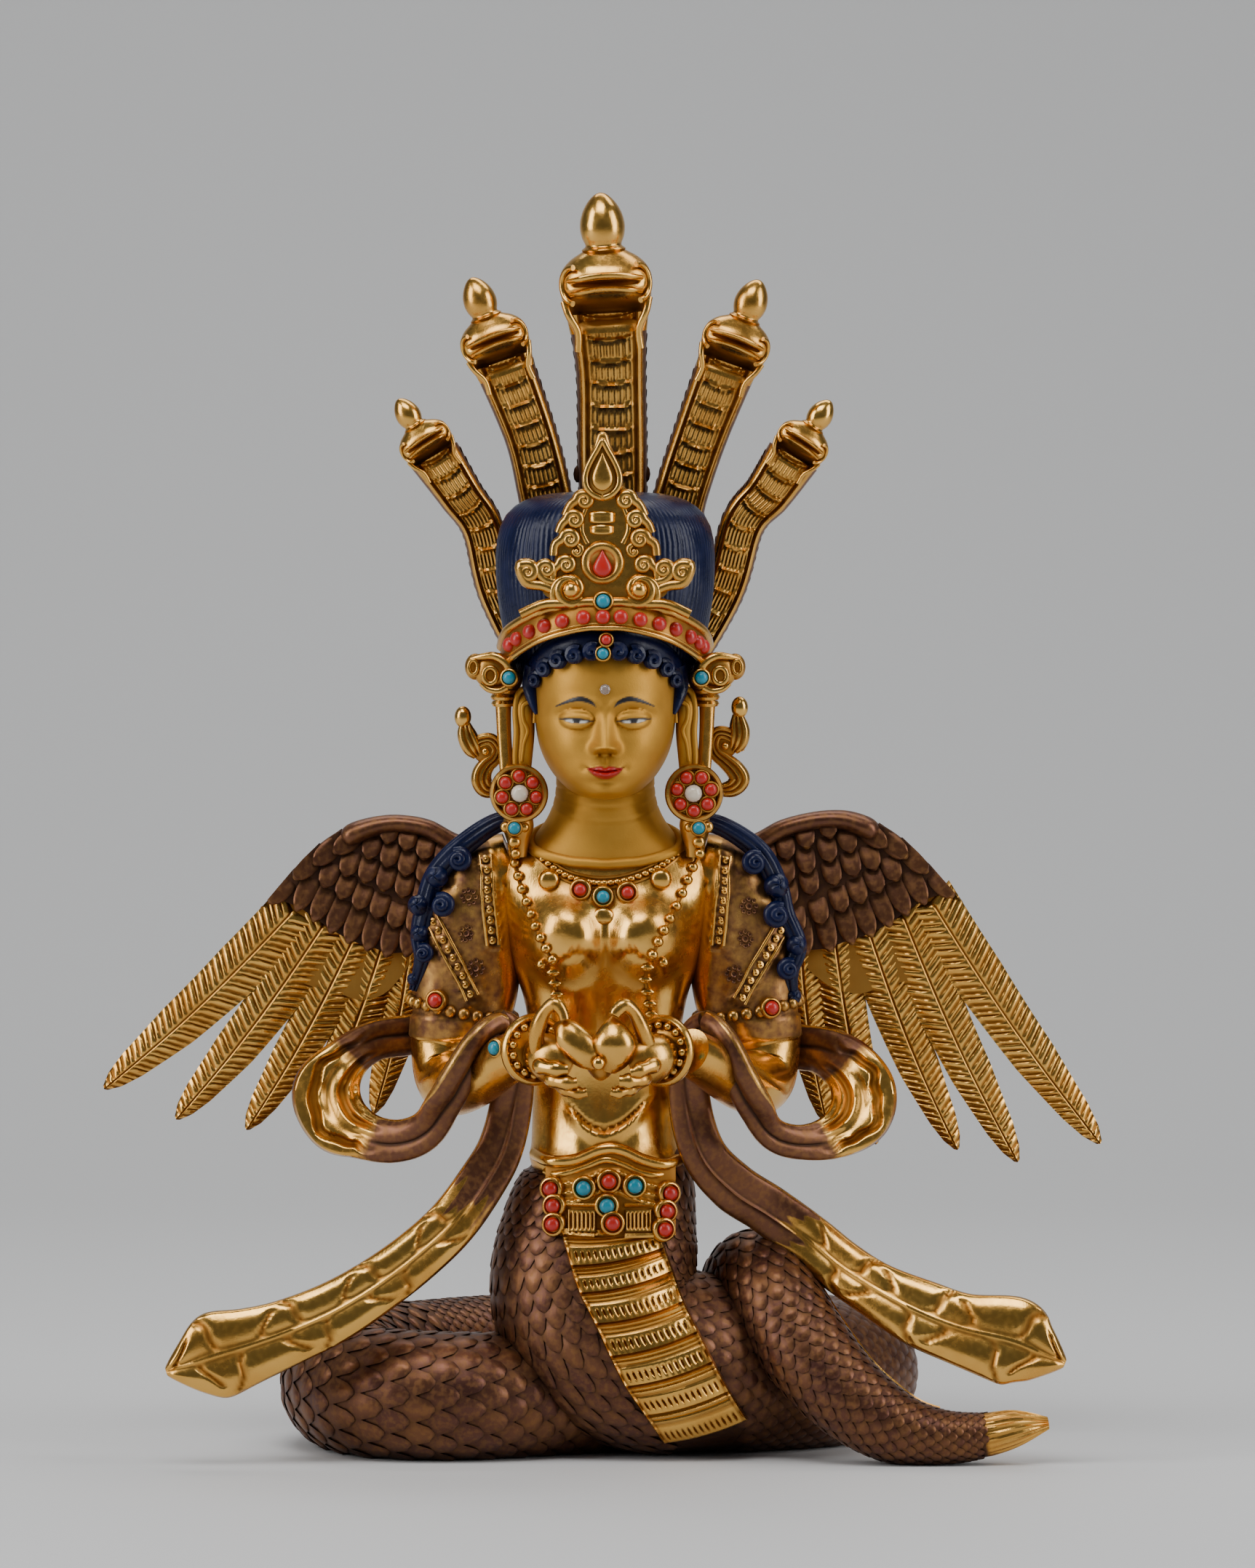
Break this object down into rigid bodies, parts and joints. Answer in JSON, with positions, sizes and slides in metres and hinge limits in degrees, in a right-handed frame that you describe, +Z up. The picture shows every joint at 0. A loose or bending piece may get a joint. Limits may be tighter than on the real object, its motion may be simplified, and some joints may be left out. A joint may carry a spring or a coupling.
{
  "type": "naga kanya figure",
  "caption": "Gilt copper naga kanya: winged crowned lady holding an offering, serpent body coiled below, serpent hood behind, scarves at the sides, set with coral and turquoise.",
  "frame": {"origin": "under the middle of the figure, on the surface that it stands on", "axes": "+Z up, the figure faces -Y, +X is the viewer's right"},
  "size_m": [0.1897, 0.1007, 0.2375],
  "materials": {
    "gilt": "fire-gilt copper, polished on the high places, brown patina in the folds and on the scales",
    "coral": "polished red coral",
    "turquoise": "polished turquoise",
    "pearl": "pearl lustre"
  },
  "bodies": {
    "root": {"figure": "gilt", "wing_left": "gilt", "wing_right": "gilt", "serpent_hood": "gilt", "scarf_left": "gilt", "scarf_right": "gilt", "crown_coral_1": "coral", "crown_coral_2": "coral", "crown_coral_3": "coral", "crown_coral_4": "coral", "crown_coral_5": "coral", "crown_coral_6": "coral", "crown_coral_7": "coral", "crown_coral_8": "coral", "crown_coral_9": "coral", "crown_coral_10": "coral", "crown_coral_11": "coral", "crown_coral_12": "coral", "crown_coral_13": "coral", "crown_coral_14": "coral", "medallion_coral": "coral", "collar_coral_left": "coral", "collar_coral_right": "coral", "belt_coral_1": "coral", "belt_coral_2": "coral", "belt_coral_3": "coral", "belt_coral_4": "coral", "belt_coral_5": "coral", "belt_coral_6": "coral", "belt_coral_7": "coral", "belt_coral_8": "coral", "armband_coral_left": "coral", "armband_coral_right": "coral", "crown_turquoise": "turquoise", "collar_turquoise": "turquoise", "belt_turquoise_left": "turquoise", "belt_turquoise_right": "turquoise", "belt_turquoise_middle": "turquoise", "ear_turquoise_left": "turquoise", "ear_turquoise_right": "turquoise", "drop_turquoise_left": "turquoise", "drop_turquoise_right": "turquoise", "pearl_left": "pearl", "pearl_right": "pearl"}
  },
  "joints": []
}
